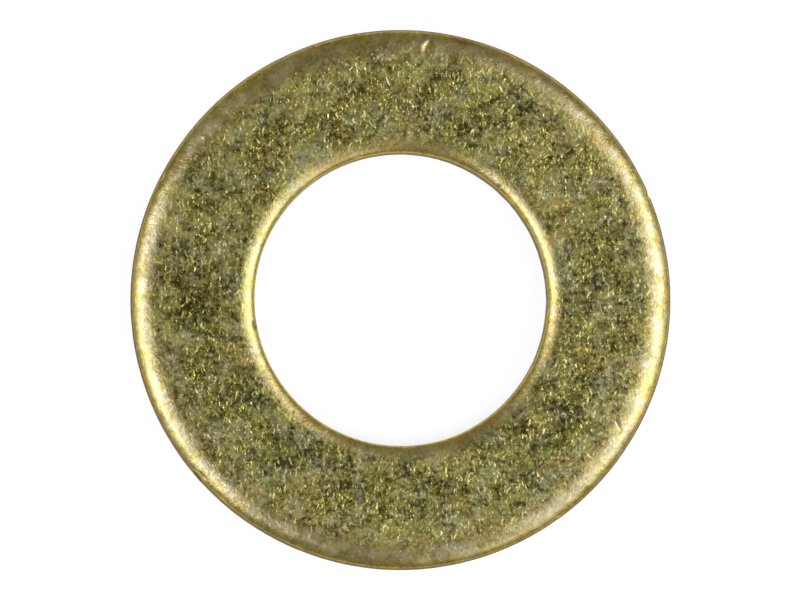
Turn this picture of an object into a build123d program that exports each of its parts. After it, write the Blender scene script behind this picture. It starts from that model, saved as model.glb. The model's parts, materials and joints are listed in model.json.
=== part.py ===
"""Flat washer for a 12 mm bolt, blanked from steel strip in one stroke, then zinc plated.

The origin is the centre of the bore on the bearing face that lies on the work. +Z is the axis of the
bore and points to the smooth face. Punch and die leave three zones on each cut wall, from the top
down: a rolled-over edge, a straight land at the nominal diameter, and a fracture zone that tapers away
from the land to the burr side, whose sharp edge is broken by tumbling.
"""

import os

from build123d import *

# The washer's own sizes, in millimetres.
bore_diameter = 13.0
outer_diameter = 24.0
thickness = 2.5

# Roll-over of the two upper edges, where the strip is drawn down before it shears.
bore_roll_width = 0.85
bore_roll_depth = 0.35
outer_roll_width = 1.3
outer_roll_depth = 0.5

# Fracture zone at the foot of both walls, and the radius that tumbling leaves at its edge.
fracture_height = 0.9
fracture_taper = 0.06
edge_break = 0.12

bore_radius = bore_diameter / 2
outer_radius = outer_diameter / 2
bore_roll_centre = (bore_radius + bore_roll_width, thickness - bore_roll_depth)
outer_roll_centre = (outer_radius - outer_roll_width, thickness - outer_roll_depth)

with BuildPart() as flat_washer:
    with BuildSketch(Plane.XZ) as section:
        with BuildLine():
            bore_roll = EllipticalCenterArc(
                bore_roll_centre, bore_roll_width, bore_roll_depth, start_angle=90, arc_size=90
            )
            outer_roll = EllipticalCenterArc(
                outer_roll_centre, outer_roll_width, outer_roll_depth, start_angle=0, arc_size=90
            )
            Line(bore_roll @ 0, outer_roll @ 1)
            bore_land = Line(bore_roll @ 1, (bore_radius, fracture_height))
            bore_fracture = Line(bore_land @ 1, (bore_radius + fracture_taper, 0))
            outer_land = Line(outer_roll @ 0, (outer_radius, fracture_height))
            outer_fracture = Line(outer_land @ 1, (outer_radius - fracture_taper, 0))
            Line(bore_fracture @ 1, outer_fracture @ 1)
        make_face()
        fillet(section.vertices().group_by(Axis.Y)[0], radius=edge_break)
    revolve(axis=Axis.Z)

flat_washer.part.label = "flat_washer"

os.makedirs("parts", exist_ok=True)
export_step(flat_washer.part, "parts/flat_washer.step")
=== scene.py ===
"""Looks and studio stage of a flat washer, laid out as an add-on.

The washer is made the way it is drawn: half a cross-section in the XZ plane, spun about the axis of
the bore, then dented by tumbling and given its finish, a barrel-plated zinc with a yellow chromate
film. Lengths are in metres in the mesh and in millimetres inside the node trees.
"""

import json
import math
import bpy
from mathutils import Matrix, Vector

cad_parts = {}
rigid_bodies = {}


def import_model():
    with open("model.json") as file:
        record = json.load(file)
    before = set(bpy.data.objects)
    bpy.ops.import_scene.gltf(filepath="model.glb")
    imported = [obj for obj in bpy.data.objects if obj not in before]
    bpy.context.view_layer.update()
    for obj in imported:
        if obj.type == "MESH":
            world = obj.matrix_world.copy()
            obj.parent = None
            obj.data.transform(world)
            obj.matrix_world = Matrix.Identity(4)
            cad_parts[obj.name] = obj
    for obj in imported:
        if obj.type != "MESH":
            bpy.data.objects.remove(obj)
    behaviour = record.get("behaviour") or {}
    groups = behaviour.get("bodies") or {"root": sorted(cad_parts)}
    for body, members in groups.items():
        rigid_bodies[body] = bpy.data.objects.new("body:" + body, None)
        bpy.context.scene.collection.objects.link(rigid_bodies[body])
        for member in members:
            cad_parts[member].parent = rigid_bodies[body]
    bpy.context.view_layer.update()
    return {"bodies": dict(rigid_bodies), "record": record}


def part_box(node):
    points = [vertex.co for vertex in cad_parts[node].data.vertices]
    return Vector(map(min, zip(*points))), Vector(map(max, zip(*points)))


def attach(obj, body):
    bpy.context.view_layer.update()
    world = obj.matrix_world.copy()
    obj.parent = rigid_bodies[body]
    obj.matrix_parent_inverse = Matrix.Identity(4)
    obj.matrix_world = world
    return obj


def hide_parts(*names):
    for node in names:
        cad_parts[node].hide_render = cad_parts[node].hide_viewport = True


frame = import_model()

from types import SimpleNamespace

import bmesh
import bpy
import numpy as np
from bpy.props import FloatProperty, FloatVectorProperty, IntProperty, PointerProperty
from mathutils import Matrix, Vector

bl_info = {
    "name": "Flat washer",
    "version": (1, 0, 0),
    "blender": (4, 5, 0),
    "location": "3D View > Sidebar > Washer",
    "description": "Models a blanked, tumbled and yellow-plated flat washer with its studio stage",
    "category": "Add Mesh",
}

MM = 0.001
NODE = "flat_washer"
FRAME_LOW, FRAME_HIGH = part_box(NODE)
FRAME_BORE = next(mount for mount in frame["record"]["mounts"] if mount["name"] == "bore")
PICTURE_WIDTH, PICTURE_HEIGHT = 800, 600


# ---------------------------------------------------------------- sizes, finish and stage


class WasherSizes(bpy.types.PropertyGroup):
    """Sizes of the blanked ring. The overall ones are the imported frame's."""

    bore_diameter: FloatProperty(
        name="Bore diameter",
        description="Across the straight land of the hole",
        default=2 * FRAME_BORE["dims"]["r_mm"] * MM,
        unit="LENGTH",
    )
    outer_diameter: FloatProperty(
        name="Outer diameter",
        description="Across the straight land of the outside",
        default=2 * FRAME_HIGH.x,
        unit="LENGTH",
    )
    thickness: FloatProperty(
        name="Thickness",
        description="From the bearing face to the smooth face",
        default=FRAME_HIGH.z - FRAME_LOW.z,
        unit="LENGTH",
    )
    bore_roll_width: FloatProperty(
        name="Bore roll width",
        description="How far the rolled-over edge reaches from the bore into the smooth face",
        default=0.85 * MM,
        unit="LENGTH",
    )
    bore_roll_depth: FloatProperty(
        name="Bore roll depth",
        description="How far the bore's rolled-over edge drops below the smooth face",
        default=0.35 * MM,
        unit="LENGTH",
    )
    outer_roll_width: FloatProperty(
        name="Outer roll width",
        description="How far the rolled-over edge reaches from the outside into the smooth face",
        default=1.3 * MM,
        unit="LENGTH",
    )
    outer_roll_depth: FloatProperty(
        name="Outer roll depth",
        description="How far the outside's rolled-over edge drops below the smooth face",
        default=0.5 * MM,
        unit="LENGTH",
    )
    fracture_height: FloatProperty(
        name="Fracture height",
        description="Height of the torn zone at the foot of both walls",
        default=0.9 * MM,
        unit="LENGTH",
    )
    fracture_taper: FloatProperty(
        name="Fracture taper",
        description="How far the torn zone leans away from the land",
        default=0.06 * MM,
        unit="LENGTH",
    )
    edge_break: FloatProperty(
        name="Edge break",
        description="Radius that tumbling leaves on the burr side's edges",
        default=0.12 * MM,
        unit="LENGTH",
    )
    segments: IntProperty(
        name="Segments",
        description="Steps of the turn about the bore",
        default=700,
        min=64,
    )


class WasherFinish(bpy.types.PropertyGroup):
    """Colours and marks of the plating."""

    film: FloatVectorProperty(
        name="Chromate film",
        description="Olive-gold of the film over most of the washer",
        default=(0.84, 0.755, 0.15),
        size=3,
        subtype="COLOR",
    )
    # Also laid along the rolls' rub bands, where it whitens their highlight: there it is partly painted
    # highlight.
    pale_film: FloatVectorProperty(
        name="Thin film",
        description="Straw colour where the film is thin or rubbed",
        default=(0.96, 0.82, 0.42),
        size=3,
        subtype="COLOR",
    )
    bronze_film: FloatVectorProperty(
        name="Thick film",
        description="Bronze colour where the film has gathered",
        default=(0.95, 0.64, 0.16),
        size=3,
        subtype="COLOR",
    )
    grey_film: FloatVectorProperty(
        name="Grey film",
        description="Grey bloom in the film",
        default=(0.74, 0.73, 0.40),
        size=3,
        subtype="COLOR",
    )
    peach_film: FloatVectorProperty(
        name="Rolled-edge film",
        description="Warm straw colour either side of the rubbed shoulders",
        default=(0.93, 0.72, 0.16),
        size=3,
        subtype="COLOR",
    )
    olive_grey: FloatVectorProperty(
        name="Hazy film",
        description="Dull pale olive of the hazy patches",
        default=(0.92, 0.84, 0.26),
        size=3,
        subtype="COLOR",
    )
    dark_film: FloatVectorProperty(
        name="Dark film",
        description="Deep olive where dirt and dense film darken the plating",
        default=(0.06, 0.052, 0.010),
        size=3,
        subtype="COLOR",
    )
    nick_film: FloatVectorProperty(
        name="Nick",
        description="Peach straw of the fresh nick in the rolled edge",
        default=(0.96, 0.68, 0.26),
        size=3,
        subtype="COLOR",
    )
    # Partly worn plating, partly painted shade: the dark line where the rolled edges turn steep and away
    # from the lights.
    rim_wear_and_shade: FloatVectorProperty(
        name="Rim line",
        description="Dark brown line where the rolled edges run out into the walls",
        default=(0.11, 0.085, 0.05),
        size=3,
        subtype="COLOR",
    )
    rust_film: FloatVectorProperty(
        name="Chipped film",
        description="Red-brown where the plating is chipped off the rim",
        default=(0.38, 0.17, 0.09),
        size=3,
        subtype="COLOR",
    )
    torn_steel: FloatVectorProperty(
        name="Torn zone",
        description="Dull brown-grey of the rough torn foot of both walls",
        default=(0.22, 0.17, 0.085),
        size=3,
        subtype="COLOR",
    )
    # Partly the film's own brown, partly painted shade: it darkens the walls, the steep ends of the
    # rolls and the bearing face, which would otherwise show the glowing floor.
    cut_edge_and_shade: FloatVectorProperty(
        name="Cut edge",
        description="Brown of the film on the sheared walls",
        default=(0.24, 0.17, 0.07),
        size=3,
        subtype="COLOR",
    )
    grazing_tint: FloatVectorProperty(
        name="Grazing tint",
        description="How much of the light that only grazes the film is reflected",
        default=(0.28, 0.25, 0.18),
        size=3,
        subtype="COLOR",
    )


class WasherStage(bpy.types.PropertyGroup):
    """Floor, lights and camera."""

    floor_colour: FloatVectorProperty(
        name="Floor",
        description="Plain pale sweep under the washer",
        default=(0.9, 0.9, 0.9),
        size=3,
        subtype="COLOR",
    )
    floor_glow: FloatProperty(
        name="Floor glow",
        description="Light that the sweep gives out by itself",
        default=0.65,
    )
    camera_distance: FloatProperty(
        name="Camera distance",
        description="From the smooth face to the lens",
        default=0.4,
        unit="LENGTH",
    )
    camera_tilt: FloatProperty(
        name="Camera tilt",
        description="How far the view leans from straight down, towards the lower left",
        default=math.radians(3.7),
        subtype="ANGLE",
    )
    picture_share: FloatProperty(
        name="Share of the picture",
        description="Outer diameter as a share of the picture's height",
        default=0.901,
        subtype="FACTOR",
    )
    panel_colour: FloatVectorProperty(
        name="Panel colour",
        description="Slightly cool daylight of the soft panels",
        default=(0.93, 0.96, 1.30),
        size=3,
        subtype="COLOR",
    )
    panel_radiance: FloatProperty(
        name="Panel brightness",
        description="Radiance of a soft panel, and the measure of the bright strips",
        default=0.94,
    )


# ---------------------------------------------------------------- node trees as expressions


class Signal:
    """A number in a node tree. Python arithmetic on it adds Math nodes."""

    def __init__(self, graph, socket):
        self.graph = graph
        self.socket = socket

    def math(self, operation, *others, clamp=False):
        sockets = dict(enumerate((self, *others)))
        node = self.graph.add("ShaderNodeMath", {"operation": operation, "use_clamp": clamp}, sockets)
        return self.graph.signal(node)

    def __add__(self, other):
        return self.math("ADD", other)

    def __sub__(self, other):
        return self.math("SUBTRACT", other)

    def __rsub__(self, other):
        return (self * -1).math("ADD", other)

    def __mul__(self, other):
        return self.math("MULTIPLY", other)

    def __truediv__(self, other):
        return self.math("DIVIDE", other)

    def __rtruediv__(self, other):
        return (self ** -1).math("MULTIPLY", other)

    def __pow__(self, other):
        return self.math("POWER", other)

    __radd__ = __add__
    __rmul__ = __mul__

    def over(self, low, high):
        """0 below low, 1 above high and smooth between. Where low is the larger, it falls instead."""
        node = self.graph.add(
            "ShaderNodeMapRange",
            {"interpolation_type": "SMOOTHSTEP"},
            {"Value": self, "From Min": min(low, high), "From Max": max(low, high)},
        )
        rising = self.graph.signal(node)
        return rising if low < high else 1 - rising


class Graph:
    """Adds nodes to one tree, of a material or of a mesh."""

    def __init__(self, tree):
        self.tree = tree

    def add(self, kind, settings=None, sockets=None):
        """A node of this kind, with its settings set first, then its sockets' values or links."""
        node = self.tree.nodes.new(kind)
        for name, value in (settings or {}).items():
            setattr(node, name, value)
        for name, value in (sockets or {}).items():
            if isinstance(value, Signal):
                self.tree.links.new(value.socket, node.inputs[name])
            else:
                node.inputs[name].default_value = value
        return node

    def signal(self, node, output=0):
        return Signal(self, node.outputs[output])

    def vector(self, operation, *values):
        """A Vector Math node."""
        node = self.add("ShaderNodeVectorMath", {"operation": operation}, dict(enumerate(values)))
        return self.signal(node, "Value" if operation == "LENGTH" else "Vector")

    def total(self, first, *others):
        """The sum of vectors."""
        for other in others:
            first = self.vector("ADD", first, other)
        return first

    def scaled(self, vector, factor):
        sockets = {"Vector": vector, "Scale": factor}
        return self.signal(self.add("ShaderNodeVectorMath", {"operation": "SCALE"}, sockets), "Vector")

    def parts(self, vector):
        """The three numbers of a vector or colour."""
        node = self.add("ShaderNodeSeparateXYZ", None, {"Vector": vector})
        return [self.signal(node, axis) for axis in "XYZ"]

    def combined(self, **numbers):
        """A vector of the numbers given for X, Y and Z, and 0 for the others."""
        return self.signal(self.add("ShaderNodeCombineXYZ", None, numbers))

    def turned(self, vector, angle):
        """A vector turned about Z."""
        sockets = {"Vector": vector, "Angle": angle}
        return self.signal(self.add("ShaderNodeVectorRotate", {"rotation_type": "Z_AXIS"}, sockets))

    def mixed(self, share, colour, other):
        """From one colour to the other as share goes from 0 to 1."""
        a, b, result = 6, 7, 2
        sockets = {"Factor": share, a: colour, b: other}
        return self.signal(self.add("ShaderNodeMix", {"data_type": "RGBA"}, sockets), result)

    def noise(self, place, size, detail=2.0, roughness=0.5, shift=0.0):
        """Cloudy noise from 0 to 1 whose blots are about this size, in the unit of place."""
        moved = self.vector("ADD", place, (shift, shift, shift))
        sockets = {"Vector": moved, "Scale": 1 / size, "Detail": detail, "Roughness": roughness}
        node = self.add("ShaderNodeTexNoise", {"noise_dimensions": "3D"}, sockets)
        return self.signal(node)

    def cells(self, place, size, shift=0.0, flat=True):
        """Scattered points, one to a cell: the way from each to place, and three chances of its own."""
        moved = self.vector("ADD", place, (shift, shift, 0.0 if flat else shift))
        node = self.add(
            "ShaderNodeTexVoronoi",
            {"voronoi_dimensions": "2D" if flat else "3D"},
            {"Vector": moved, "Scale": 1 / size, "Randomness": 1.0},
        )
        away = self.vector("SUBTRACT", moved, self.signal(node, "Position"))
        return away, self.parts(self.signal(node, "Color"))


def rgba(colour):
    """A colour with full alpha, as a colour socket takes it."""
    return (*colour, 1.0)


# The knocks that stand out: azimuth and radius of the middle, the way it runs, half its length and half
# its width, how deep it is, and its film. Angles are in degrees from +X and lengths in millimetres.
KNOCKS = (
    (84.4, 11.28, 68, 0.38, 0.15, 0.040, "nick_film"),
    (222.0, 11.80, 128, 0.24, 0.07, 0.030, "pale_film"),
    (221.0, 11.97, 131, 0.34, 0.14, 0.060, "rust_film"),
    (228.4, 11.98, 140, 0.14, 0.10, 0.045, "pale_film"),
    (305.0, 11.99, 35, 0.16, 0.12, 0.060, "torn_steel"),
    (190.0, 6.60, 100, 0.20, 0.10, 0.045, "torn_steel"),
    (329.6, 11.13, 118, 0.34, 0.06, 0.020, "pale_film"),
    (331.5, 9.42, 75, 0.24, 0.06, 0.015, "pale_film"),
    (329.3, 9.97, 78, 0.22, 0.06, 0.015, "pale_film"),
    (76.5, 9.87, 74, 0.22, 0.05, 0.015, "pale_film"),
    (23.0, 11.95, 113, 0.20, 0.10, 0.045, "torn_steel"),
    (153.0, 11.96, 63, 0.18, 0.12, 0.040, "torn_steel"),
)


# The sizes of tumbling bowl: its cell, its reach and its depth in millimetres, and a shift.
BOWLS = (
    (1.3, 0.34, 0.030, 4.1),
    (0.7, 0.22, 0.020, 8.7),
)


# The sizes of tumbling fleck: its cell, half its length and half its width in millimetres, how steeply
# it tips the surface, and a shift that gives each size its own places.
FLECKS = (
    (0.36, 0.17, 0.044, 0.19, 0.0),
    (0.24, 0.13, 0.034, 0.22, 5.3),
    (0.16, 0.10, 0.026, 0.24, 9.1),
    (0.12, 0.05, 0.028, 0.20, 17.9),
)

# The angle in radians, centred on +Y, within which every fleck lies.
FLECK_SPREAD = 2.2


# Heights in millimetres between which the marks of the smooth face's side set in.
UPPER_PART = (1.3, 1.6)


# Where the film has gathered or worn in one place: laid out as the knocks are, without a depth.
STAINS = (
    (314.5, 10.10, 200, 0.55, 0.30, "bronze_film"),
    (323.5, 11.05, 110, 0.40, 0.22, "bronze_film"),
    (317.6, 11.10, 140, 0.35, 0.20, "bronze_film"),
    (309.0, 9.85, 220, 0.45, 0.22, "bronze_film"),
    (311.6, 11.05, 120, 0.30, 0.18, "bronze_film"),
    (76.0, 11.80, 166, 0.75, 0.20, "rust_film"),
    (85.5, 11.27, 68, 0.42, 0.07, "rust_film"),
    (127.0, 7.55, 127, 0.75, 0.10, "pale_film"),
)


def blot(x, y, azimuth, radius, way, length, width):
    """0 in the middle of an ellipse at this azimuth and radius, 1 on its outline, and more beyond."""
    turn, run = math.radians(azimuth), math.radians(way)
    dx, dy = x - radius * math.cos(turn), y - radius * math.sin(turn)
    along = (dx * math.cos(run) + dy * math.sin(run)) / length
    across = (dy * math.cos(run) - dx * math.sin(run)) / width
    return along * along + across * across


def nicks(graph, place):
    """For each knock, 1 in its middle and 0 outside it, its depth and its film."""
    x, y, height = graph.parts(place)
    upper = height.over(*UPPER_PART)
    for *ellipse, depth, film in KNOCKS:
        yield blot(x, y, *ellipse).over(1, 0.3) * upper, depth, film


def in_millimetres(sizes):
    """The radius of the bore, the outer radius and the thickness."""
    return (size / MM for size in (sizes.bore_diameter / 2, sizes.outer_diameter / 2, sizes.thickness))


def upper_half(height, top):
    """1 in the upper half of the thickness and 0 in the lower half."""
    return height.over(top * 0.4, top * 0.6)


# ---------------------------------------------------------------- the washer's shape


# How finely the section's straight edges are cut before it is spun.
WALL_STEP = 0.13 * MM
SMOOTH_FACE_STEP = 0.1 * MM
BEARING_FACE_STEP = 0.21 * MM


def activate(piece):
    """Makes one object the only selected one."""
    bpy.ops.object.select_all(action="DESELECT")
    piece.select_set(True)
    bpy.context.view_layer.objects.active = piece


def pick(piece, kind, test):
    """In edit mode, selects the vertices or edges whose middle passes the test."""
    bpy.ops.mesh.select_mode(type={"verts": "VERT", "edges": "EDGE"}[kind])
    bpy.ops.mesh.select_all(action="DESELECT")
    cage = bmesh.from_edit_mesh(piece.data)
    for item in getattr(cage, kind):
        middle = item.co if kind == "verts" else (item.verts[0].co + item.verts[1].co) / 2
        if test(middle):
            item.select_set(True)
    cage.select_flush_mode()
    bmesh.update_edit_mesh(piece.data)


def near(place, tolerance=1e-6):
    """A test for pick: is it this close to place?"""
    return lambda middle: (middle - place).length < tolerance


def round_corner(piece, corner, width, depth, segments):
    """Rounds one corner of the section to a quarter of an ellipse: a round bevel in stretched space."""
    stretch = width / depth
    origin = (0, 0, 0)
    bpy.ops.mesh.select_all(action="SELECT")
    bpy.ops.transform.resize(value=(1, 1, stretch), center_override=origin)
    pick(piece, "verts", near(Vector((corner.x, 0, corner.z * stretch))))
    bpy.ops.mesh.bevel(offset=width, segments=segments, affect="VERTICES")
    bpy.ops.mesh.select_all(action="SELECT")
    bpy.ops.transform.resize(value=(1, 1, 1 / stretch), center_override=origin)


def divide(piece, start, end, step):
    """Cuts the section's straight edge between two points into pieces about one step long."""
    middle = (start + end) / 2
    pick(piece, "edges", near(middle))
    bpy.ops.mesh.subdivide(number_cuts=round((end - start).length / step) - 1)


def draw_section(sizes):
    """Half the ring's cross-section: a rectangle with rolled upper corners and tapered, broken feet."""
    bore, outer, top = sizes.bore_diameter / 2, sizes.outer_diameter / 2, sizes.thickness
    foot = sizes.fracture_height
    bpy.ops.object.select_all(action="DESELECT")
    bpy.ops.mesh.primitive_plane_add(
        size=1, location=((bore + outer) / 2, 0, top / 2), rotation=(math.pi / 2, 0, 0)
    )
    piece = bpy.context.object
    piece.scale = (outer - bore, top, 1)
    bpy.ops.object.transform_apply(location=True, rotation=True, scale=True)

    bpy.ops.object.mode_set(mode="EDIT")
    bpy.ops.mesh.bisect(plane_co=(0, 0, foot), plane_no=(0, 0, 1))
    for wall, lean in ((bore, sizes.fracture_taper), (outer, -sizes.fracture_taper)):
        pick(piece, "verts", near(Vector((wall, 0, 0))))
        bpy.ops.transform.translate(value=(lean, 0, 0))
        corner = Vector((wall + lean, 0, 0))
        round_corner(piece, corner, sizes.edge_break, sizes.edge_break, segments=5)
    bore_corner, outer_corner = Vector((bore, 0, top)), Vector((outer, 0, top))
    round_corner(piece, bore_corner, sizes.bore_roll_width, sizes.bore_roll_depth, segments=14)
    round_corner(piece, outer_corner, sizes.outer_roll_width, sizes.outer_roll_depth, segments=20)

    bpy.ops.mesh.select_all(action="SELECT")
    bpy.ops.mesh.delete(type="ONLY_FACE")
    pick(piece, "edges", near(Vector(((bore + outer) / 2, 0, foot)), 0.01 * MM))
    bpy.ops.mesh.delete(type="EDGE")
    bpy.ops.object.mode_set(mode="OBJECT")
    return piece


def long_edges(piece, least):
    """The straight edges of the section that are longer than least."""
    mesh = piece.data
    ends = [[mesh.vertices[i].co.copy() for i in edge.vertices] for edge in mesh.edges]
    return [pair for pair in ends if (pair[0] - pair[1]).length > least]


def blank_ring(sizes):
    """The ring as it leaves the punch: the section spun once about the bore's axis."""
    piece = draw_section(sizes)
    activate(piece)
    spans = long_edges(piece, 0.5 * MM)
    bpy.ops.object.mode_set(mode="EDIT")
    for start, end in spans:
        if abs(start.z - end.z) > abs(start.x - end.x):
            step = WALL_STEP
        elif start.z > sizes.thickness / 2:
            step = SMOOTH_FACE_STEP
        else:
            step = BEARING_FACE_STEP
        divide(piece, start, end, step)
    bpy.ops.object.mode_set(mode="OBJECT")
    turn = piece.modifiers.new("turn", "SCREW")
    turn.angle = 2 * math.pi
    turn.steps = turn.render_steps = sizes.segments
    turn.use_merge_vertices = True
    turn.merge_threshold = 0.001 * MM
    bpy.ops.object.modifier_apply(modifier=turn.name)

    bpy.ops.object.mode_set(mode="EDIT")
    bpy.ops.mesh.select_all(action="SELECT")
    bpy.ops.mesh.remove_doubles(threshold=0.001 * MM)
    bpy.ops.mesh.normals_make_consistent(inside=False)
    bpy.ops.object.mode_set(mode="OBJECT")
    bpy.ops.object.shade_smooth()
    return piece


def torn_zone(graph, place, sizes):
    """1 below the wavy line where the punch stopped cutting and the steel tore, and 0 above it."""
    line = graph.noise(place, 1.2, detail=3, roughness=0.6, shift=5.9) * 0.7 - 0.35
    foot, blur = sizes.fracture_height / MM, 0.12
    return (graph.parts(place)[2] - line).over(foot + blur, foot - blur)


def dent(piece, sizes):
    """Marks the blank as punching and tumbling leave it. Every mark goes inwards from the true size."""
    tree = bpy.data.node_groups.new("tumbling", "GeometryNodeTree")
    tree.interface.new_socket("Geometry", in_out="INPUT", socket_type="NodeSocketGeometry")
    tree.interface.new_socket("Geometry", in_out="OUTPUT", socket_type="NodeSocketGeometry")
    graph = Graph(tree)
    bore, outer, top = in_millimetres(sizes)
    place = graph.scaled(graph.signal(graph.add("GeometryNodeInputPosition")), 1 / MM)
    normal = graph.signal(graph.add("GeometryNodeInputNormal"))
    x, y, height = graph.parts(place)
    radius = (x * x + y * y) ** 0.5
    middle = (bore + outer) / 2
    rim = (radius - middle).math("ABSOLUTE").over(middle - bore - 0.9, middle - bore - 0.2)

    swell = graph.noise(place, 2.6, detail=1, shift=2.3) * 0.022
    bowls = 0
    for size, reach, depth, shift in BOWLS:
        away, (chance, width, sink) = graph.cells(place, size, shift, flat=False)
        reach = (width * 0.5 + 0.5) * reach
        bowl = (graph.vector("LENGTH", away) / reach).over(1, 0.1)
        bowls = bowl * sink * depth * chance.over(0.45, 0.5) + bowls
    torn = torn_zone(graph, place, sizes) * height.over(0.02, 0.2)
    tearing = graph.noise(place, 0.32, detail=3, roughness=0.65, shift=13.1)
    tearing = tearing.over(0.3, 0.75) * 0.07 + 0.015
    nicked = sum(mask * deep for mask, deep, _ in nicks(graph, place))
    depth = swell * upper_half(height, top) + bowls * (rim * 0.8 + 0.2) + torn * tearing + nicked
    blank = graph.signal(graph.add("NodeGroupInput"))
    inwards = graph.scaled(normal, depth * -MM)
    moved = graph.add("GeometryNodeSetPosition", None, {"Geometry": blank, "Offset": inwards})
    graph.add("NodeGroupOutput", None, {"Geometry": graph.signal(moved)})
    tumbling = piece.modifiers.new("tumbling", "NODES")
    tumbling.node_group = tree
    activate(piece)
    bpy.ops.object.modifier_apply(modifier=tumbling.name)
    bpy.data.node_groups.remove(tree)


def check_skin(piece, most_triangles=200_000):
    """Raises an error if the skin is open, inside out or too heavy."""
    cage = bmesh.new()
    cage.from_mesh(piece.data)
    open_edges = sum(not edge.is_manifold for edge in cage.edges)
    triangles = sum(len(face.verts) - 2 for face in cage.faces)
    volume = cage.calc_volume(signed=True)
    cage.free()
    if open_edges or volume <= 0 or triangles >= most_triangles:
        found = f"{open_edges} open edges, {triangles} triangles, {volume} m3"
        raise RuntimeError(f"{piece.name}: {found}")


def add_map(mesh, name, places):
    """Adds a flat map with one place for each corner of each face."""
    layer = mesh.uv_layers.new(name=name, do_init=False)
    layer.uv.foreach_set("vector", places.astype(np.float32).ravel())


def lay_out(piece, sizes):
    """Gives the ring its two flat maps, both unrolled around the bore's axis.

    The grain map is in millimetres: the smooth face with both walls unrolled beyond its edges, and the
    bearing face beside it. The bake map nests three rings in one square: the smooth face with the
    outer wall, inside it the bearing face, and inside that the wall of the bore.
    """
    mesh = piece.data
    places = np.empty(len(mesh.vertices) * 3)
    mesh.vertices.foreach_get("co", places)
    corner_vertex = np.empty(len(mesh.loops), int)
    mesh.loops.foreach_get("vertex_index", corner_vertex)
    centres, normals = np.empty(len(mesh.polygons) * 3), np.empty(len(mesh.polygons) * 3)
    mesh.polygons.foreach_get("center", centres)
    mesh.polygons.foreach_get("normal", normals)
    sides = np.empty(len(mesh.polygons), int)
    mesh.polygons.foreach_get("loop_total", sides)

    x, y, z = places.reshape(-1, 3)[corner_vertex].T
    centre_x, centre_y, centre_z = np.repeat(centres.reshape(-1, 3), sides, axis=0).T
    facing_down = np.repeat(normals.reshape(-1, 3)[:, 2], sides) < -0.5
    radius = np.hypot(x, y)
    way = np.stack([x, y], 1) / radius[:, None]
    bore, outer, top = sizes.bore_diameter / 2, sizes.outer_diameter / 2, sizes.thickness
    inner_side = np.hypot(centre_x, centre_y) < (bore + outer) / 2
    bore_wall = inner_side & ~facing_down & (centre_z < top - sizes.bore_roll_depth)
    unrolled = radius + np.where(inner_side, z - top, top - z)

    grain = np.where(facing_down, radius, unrolled)[:, None] * way / MM
    grain[facing_down] += (4 * outer / MM, 0)
    add_map(mesh, "grain", grain)

    gap = 0.004
    upper_scale = (0.5 - gap) / (outer + top)
    lower_scale = ((bore - sizes.bore_roll_depth) * upper_scale - gap) / outer
    wall_start = bore * lower_scale - gap
    wall = wall_start - (top - sizes.bore_roll_depth - z) * lower_scale
    ring = np.where(facing_down, radius * lower_scale, np.where(bore_wall, wall, unrolled * upper_scale))
    add_map(mesh, "OFBake", 0.5 + ring[:, None] * way)


# ---------------------------------------------------------------- the finish


def flecks(graph, place, cell, length, width, slope, shift):
    """Short straight dents, one to a cell, most of them nearly along Y: how each tips the surface, and
    how pale its film is, from -1 to 1."""
    away, (angle, size, tip) = graph.cells(place, cell, shift)
    turn = angle * FLECK_SPREAD + (math.pi / 2 - FLECK_SPREAD / 2)
    along, across, _ = graph.parts(graph.turned(away, turn))
    along = along / ((size + 0.5) * length)
    across = across / ((size * 0.6 + 0.7) * width)
    inside = (along * along + across * across).over(1, 0.15)
    side = tip * 2 - 1
    lean = graph.combined(Y=inside * side * slope)
    return graph.turned(lean, turn * -1), inside * (size * 2 - 1)


def zones(graph, place, sizes):
    """The zones of the washer, each 1 inside and 0 outside, and the numbers that place them."""
    bore, outer, top = in_millimetres(sizes)
    x, y, height = graph.parts(place)
    radius = (x * x + y * y) ** 0.5
    upper = upper_half(height, top)
    rolled_out = radius.over(outer - sizes.outer_roll_width / MM, outer - 0.7) * upper
    rolled_in = radius.over(bore + sizes.bore_roll_width / MM, bore + 0.4) * upper
    # Bands along both rolls where their highlights fall: partly rubbed film, partly painted highlight
    # that whitens it.
    rub_and_highlight_out = radius.over(outer - 1.1, outer - 0.65) * radius.over(outer - 0.1, outer - 0.5)
    rub_and_highlight_in = radius.over(bore + 0.7, bore + 0.4) * radius.over(bore + 0.05, bore + 0.3)
    worn = graph.noise(place, 0.7, detail=4, roughness=0.7, shift=33.1).over(0.30, 0.66)
    shoulder = radius.over(outer - 1.8, outer - 1.3) * radius.over(outer - 0.7, outer - 1.1) * upper
    # The thin band at the very edges where the dark rim line is painted, partly as shade.
    rim = radius.over(outer - 0.10, outer - 0.03) + radius.over(bore + 0.08, bore + 0.01) * 0.4
    # Everything below the rolls' steep ends, walls and bearing face together, takes the cut-edge brown,
    # which is partly painted shade.
    wall = height.over(top - 0.22, top - 0.44)
    side_wall = wall * height.over(0.03, 0.12)
    return SimpleNamespace(
        x=x,
        y=y,
        height=height,
        radius=radius,
        rolled=rolled_out.math("MAXIMUM", rolled_in),
        rolled_in=rolled_in,
        beside=radius.over(outer - 2.6, outer - 1.2) + radius.over(bore + 2.0, bore + 0.7),
        rub_and_highlight=(rub_and_highlight_out + rub_and_highlight_in * 0.6) * upper * worn,
        shoulder=shoulder,
        rim=rim * height.over(top - 0.60, top - 0.50),
        wall=wall,
        side_wall=side_wall,
        torn=torn_zone(graph, place, sizes) * side_wall,
    )


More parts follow.
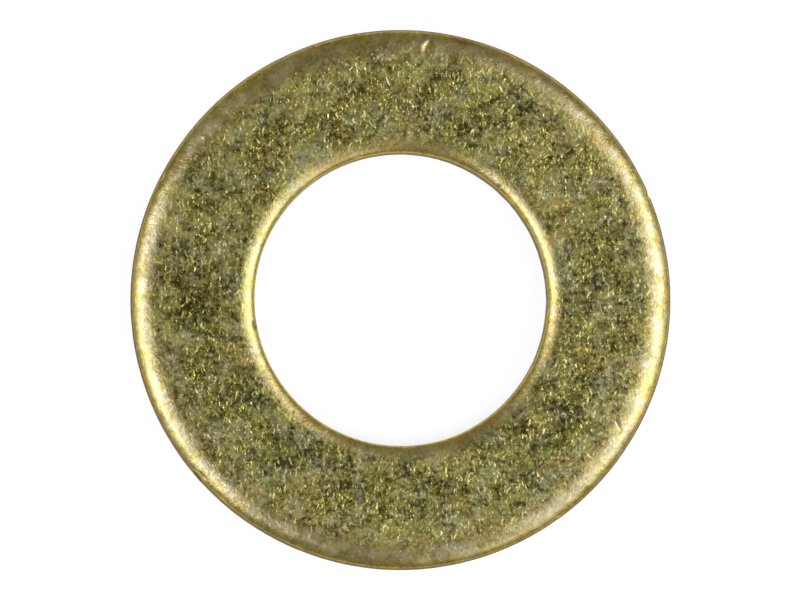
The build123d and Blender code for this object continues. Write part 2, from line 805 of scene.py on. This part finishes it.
def clouds(graph, place, grain, zone):
    """The cloudy patterns of the plating, each from 0 to 1."""
    haze = graph.noise(place, 1.5, detail=6, roughness=0.72, shift=3.7) + zone.beside * 0.08
    flat = graph.combined(X=zone.x, Y=zone.y)
    around = graph.scaled(graph.scaled(flat, 1 / zone.radius), 5)
    lift = graph.combined(Z=(zone.radius - zone.height) * 5)
    bands = graph.total(around, graph.scaled(place, 0.02), lift)
    streaks = graph.vector("MULTIPLY", place, (9, 9, 0.5))
    return SimpleNamespace(
        haze=haze.over(0.30, 0.78),
        mottle=graph.noise(place, 0.45, detail=5, roughness=0.75, shift=14.9),
        dirt=graph.noise(place, 0.50, detail=4, roughness=0.72, shift=41.3).over(0.46, 0.72),
        grime=graph.noise(place, 2.6, detail=4, roughness=1.0, shift=71.3),
        specks=graph.noise(grain, 0.17, detail=1, roughness=0.6, shift=23.9),
        bloom=graph.noise(place, 1.0, detail=4, roughness=0.65, shift=11.3).over(0.42, 0.72),
        stain=graph.noise(place, 1.7, detail=5, roughness=0.68, shift=27.1).over(0.46, 0.72),
        bands=graph.noise(bands, 1, detail=3, shift=61.7),
        burnish=graph.noise(streaks, 1, detail=3, roughness=0.6, shift=19.1),
        crystals=graph.noise(place, 0.16, detail=3, roughness=0.7, shift=55.5),
    )


def relief(graph, place, grain, zone, cloud):
    """The bumpy normal of the plating, and how pale the flecks make its film."""
    marks = [flecks(graph, grain, *size) for size in FLECKS]
    tipped = graph.total(*(tip for tip, _ in marks))
    marked = (1 - zone.rolled * 0.62) * (1 - cloud.haze * 0.35) * (1 - zone.torn)
    grit = graph.noise(grain, 0.10, detail=3, roughness=0.6, shift=7.7)
    swell = graph.noise(place, 0.6, detail=2, shift=1.9)
    land = zone.side_wall * (1 - zone.torn)
    depth = grit * 0.009 + swell * 0.022 * (1 - zone.side_wall)
    depth = depth + land * cloud.burnish * 0.010 + zone.torn * cloud.crystals * 0.08
    bump = graph.add("ShaderNodeBump", None, {"Strength": 1.0, "Distance": MM, "Height": depth * -1})
    bright = sum(mask for mask, _, film in nicks(graph, place) if film in ("pale_film", "nick_film"))
    caught = graph.combined(X=bright * 0.11)
    normal = graph.total(graph.signal(bump), graph.scaled(tipped, marked), caught)
    return graph.vector("NORMALIZE", normal), sum(tone for _, tone in marks)


def film_colour(graph, finish, place, zone, cloud, tone):
    """The colour of the plating, built up from the film outwards, one layer over another."""
    uneven = (0.5 - cloud.mottle) * 1.8 + (0.5 - cloud.grime) * 3.4 + (0.5 - cloud.specks) * 1.6
    uneven = uneven - tone * 0.45 + cloud.dirt * (1 - cloud.haze * 0.5) * 0.3
    # The rolls' highlight bands are kept lighter here too, as part of their painted highlight.
    dark = uneven * (1 - zone.rolled * 0.68) - zone.beside * 0.07 - zone.rub_and_highlight * 0.25 + 0.41
    dark = dark + zone.rolled * 0.05 - zone.rolled_in * 0.14
    blush = graph.noise(place, 0.5, detail=3, roughness=0.6, shift=47.7).over(0.50, 0.64)
    rim = (zone.rim * (0.65 + cloud.burnish * 0.6)).math("MINIMUM", 1)

    layers = [
        (cloud.haze * 0.8, "olive_grey"),
        (zone.rolled * (cloud.mottle.over(0.35, 0.65) * 0.4 + 0.5), "peach_film"),
        (zone.rolled * cloud.bands.over(0.5, 0.66) * 0.6, "bronze_film"),
        (cloud.bloom * 0.7, "grey_film"),
        (cloud.stain * 0.6, "bronze_film"),
    ]
    for *ellipse, film in STAINS:
        spread = blot(zone.x, zone.y, *ellipse) + (0.5 - cloud.mottle) * 2
        layers.append((spread.over(1.3, 0.3) * zone.height.over(*UPPER_PART) * 0.6, film))
    layers.append((zone.shoulder * blush * 0.6, "nick_film"))
    # Pale straw on the rolls' highlight bands: partly rubbed film, partly painted highlight.
    layers.append((zone.rub_and_highlight, "pale_film"))
    layers.append((dark.math("ADD", 0, clamp=True) * 0.9, "dark_film"))
    layers.extend((mask * 0.65, film) for mask, _, film in nicks(graph, place))
    # Dark line at the very rims: partly worn plating, partly painted shade of the steep edge.
    layers.append((rim, "rim_wear_and_shade"))
    # Cut-edge brown on the walls, bearing face and steep roll ends: partly film colour, partly painted
    # shade.
    layers.append((zone.wall * (0.55 + cloud.burnish * 0.4), "cut_edge_and_shade"))
    layers.append((zone.torn * (1 - cloud.crystals * 0.6), "torn_steel"))

    colour = rgba(finish.film)
    for share, film in layers:
        colour = graph.mixed(share, colour, rgba(getattr(finish, film)))
    return colour


def plate(finish, sizes):
    """The plated surface: olive-gold metal with patches of haze and stain, covered in fine dents."""
    material = bpy.data.materials.new("yellow zinc plate")
    material.use_nodes = True
    graph = Graph(material.node_tree)
    place = graph.scaled(graph.signal(graph.add("ShaderNodeTexCoord"), "Object"), 1 / MM)
    grain = graph.signal(graph.add("ShaderNodeUVMap", {"uv_map": "grain"}))
    zone = zones(graph, place, sizes)
    cloud = clouds(graph, place, grain, zone)
    normal, tone = relief(graph, place, grain, zone, cloud)
    colour = film_colour(graph, finish, place, zone, cloud, tone)
    roughness = cloud.haze * 0.07 + cloud.mottle * (0.18 - zone.rolled * 0.08) + 0.16
    roughness = roughness + cloud.bloom * 0.03 + zone.rolled * 0.02 + zone.torn * 0.25

    shader = graph.tree.nodes["Principled BSDF"]
    shader.inputs["Metallic"].default_value = 1.0
    shader.inputs["Specular Tint"].default_value = rgba(finish.grazing_tint)
    for name, value in (("Base Color", colour), ("Roughness", roughness), ("Normal", normal)):
        graph.tree.links.new(value.socket, shader.inputs[name])
    return material


class WASHER_OT_ring(bpy.types.Operator):
    """Model the washer: blank it, tumble it and plate it"""

    bl_idname = "washer.ring"
    bl_label = "Washer"
    bl_options = {"REGISTER", "UNDO"}

    def execute(self, context):
        scene = context.scene
        piece = blank_ring(scene.washer_sizes)
        piece.name = piece.data.name = "washer"
        lay_out(piece, scene.washer_sizes)
        dent(piece, scene.washer_sizes)
        check_skin(piece)
        piece.data.materials.append(plate(scene.washer_finish, scene.washer_sizes))
        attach(piece, next(iter(frame["bodies"])))
        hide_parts(NODE)
        return {"FINISHED"}


# ---------------------------------------------------------------- the stage


# The lights: azimuth from +X and lean from straight up in degrees, width, height and distance in metres,
# and strength. Three are soft panels, and two are bright strips before the middle of the larger ones.
PANELS = (
    (0, 40, 0.48, 0.54, 0.50, 1.0),
    (192, 42, 0.48, 0.48, 0.50, 1.0),
    (305, 50, 0.26, 0.18, 0.50, 1.0),
    (2, 40, 0.36, 0.09, 0.48, 2.65),
    (194, 40, 0.36, 0.09, 0.48, 2.65),
)

# How the surroundings brighten on the way down, where 1 is overhead and 0 the horizon: where each step
# starts, where it ends, and how much light it adds.
SKY_STEPS = (
    (0.99, 0.91, 0.10),
    (0.85, 0.55, 0.07),
    (0.10, 0.03, 0.60),
)
SKY_OVERHEAD = 0.045
SKY_COLOUR = (1, 0.95, 0.72)


def aim(thing, place, target, up):
    """Puts a camera or light at place, looking at target, with up as near as it can be to its own up."""
    back = (place - target).normalized()
    right = up.cross(back).normalized()
    turn = Matrix((right, back.cross(right), back)).transposed()
    thing.matrix_world = Matrix.Translation(place) @ turn.to_4x4()


def add_floor(stage, size=6.0, gap=0.01 * MM):
    """A plain sweep that glows a little, a hair's gap below the bearing face."""
    bpy.ops.object.select_all(action="DESELECT")
    bpy.ops.mesh.primitive_plane_add(size=size, location=(0, 0, -gap))
    floor = bpy.context.object
    floor.name = "floor"
    material = bpy.data.materials.new("pale sweep")
    material.use_nodes = True
    shader = material.node_tree.nodes["Principled BSDF"]
    shader.inputs["Base Color"].default_value = rgba(stage.floor_colour)
    shader.inputs["Roughness"].default_value = 0.9
    shader.inputs["Emission Color"].default_value = (1, 1, 1, 1)
    shader.inputs["Emission Strength"].default_value = stage.floor_glow
    floor.data.materials.append(material)


def add_panel(stage, azimuth, lean, width, height, distance, strength):
    """One of the lights, turned to the washer."""
    turn, tip = math.radians(azimuth), math.radians(lean)
    way = Vector((math.sin(tip) * math.cos(turn), math.sin(tip) * math.sin(turn), math.cos(tip)))
    light = bpy.data.lights.new("panel", "AREA")
    light.shape = "RECTANGLE"
    light.size, light.size_y = width, height
    light.color = stage.panel_colour
    light.energy = stage.panel_radiance * strength * math.pi * width * height
    panel = bpy.data.objects.new("panel", light)
    bpy.context.scene.collection.objects.link(panel)
    aim(panel, way * distance, Vector((0, 0, 0)), Vector((0, 0, 1)))


def add_camera(stage, sizes):
    """The lens over the washer, which fills its share of the picture."""
    camera = bpy.data.cameras.new("camera")
    frame_width = sizes.outer_diameter / stage.picture_share * PICTURE_WIDTH / PICTURE_HEIGHT
    camera.lens = camera.sensor_width * stage.camera_distance / frame_width
    camera.clip_start, camera.clip_end = 0.01, 20
    # The washer lies a hair off the middle of the picture.
    camera.shift_x, camera.shift_y = -1 / PICTURE_WIDTH, -0.5 / PICTURE_WIDTH
    holder = bpy.data.objects.new("camera", camera)
    bpy.context.scene.collection.objects.link(holder)
    land_top = Vector((0, 0, sizes.thickness - sizes.outer_roll_depth))
    lean = math.sin(stage.camera_tilt) / math.sqrt(2)
    way = Vector((-lean, -lean, math.cos(stage.camera_tilt)))
    aim(holder, land_top + way * stage.camera_distance, land_top, Vector((0, 1, 0)))
    bpy.context.scene.camera = holder


def set_world():
    """Dim, warm surroundings that brighten towards the horizon."""
    world = bpy.data.worlds.new("studio")
    world.use_nodes = True
    graph = Graph(world.node_tree)
    background = graph.tree.nodes["Background"]
    direction = graph.signal(graph.add("ShaderNodeTexCoord"), "Generated")
    height = graph.parts(direction)[2]
    brightness = sum(height.over(start, end) * step for start, end, step in SKY_STEPS) + SKY_OVERHEAD
    graph.tree.links.new(brightness.socket, background.inputs["Strength"])
    background.inputs["Color"].default_value = rgba(SKY_COLOUR)
    bpy.context.scene.world = world


class WASHER_OT_stage(bpy.types.Operator):
    """Set the pale floor, the soft panels, the bright strips and the camera"""

    bl_idname = "washer.stage"
    bl_label = "Stage"
    bl_options = {"REGISTER", "UNDO"}

    def execute(self, context):
        stage = context.scene.washer_stage
        add_floor(stage)
        for panel in PANELS:
            add_panel(stage, *panel)
        add_camera(stage, context.scene.washer_sizes)
        set_world()
        context.scene.view_settings.view_transform = "Standard"
        return {"FINISHED"}


class WASHER_PT_panel(bpy.types.Panel):
    """Everything a user would change, and the two steps"""

    bl_label = "Flat washer"
    bl_idname = "WASHER_PT_panel"
    bl_space_type = "VIEW_3D"
    bl_region_type = "UI"
    bl_category = "Washer"

    def draw(self, context):
        scene = context.scene
        for group in (scene.washer_sizes, scene.washer_finish, scene.washer_stage):
            box = self.layout.box()
            for name in group.bl_rna.properties.keys():
                if name not in ("rna_type", "name"):
                    box.prop(group, name)
        self.layout.operator("washer.ring")
        self.layout.operator("washer.stage")


CLASSES = (WasherSizes, WasherFinish, WasherStage, WASHER_OT_ring, WASHER_OT_stage, WASHER_PT_panel)


def register():
    for each in CLASSES:
        bpy.utils.register_class(each)
    bpy.types.Scene.washer_sizes = PointerProperty(type=WasherSizes)
    bpy.types.Scene.washer_finish = PointerProperty(type=WasherFinish)
    bpy.types.Scene.washer_stage = PointerProperty(type=WasherStage)


def unregister():
    del bpy.types.Scene.washer_sizes
    del bpy.types.Scene.washer_finish
    del bpy.types.Scene.washer_stage
    for each in reversed(CLASSES):
        bpy.utils.unregister_class(each)


def main():
    register()
    bpy.ops.washer.ring()
    bpy.ops.washer.stage()


if __name__ == "__main__":
    main()
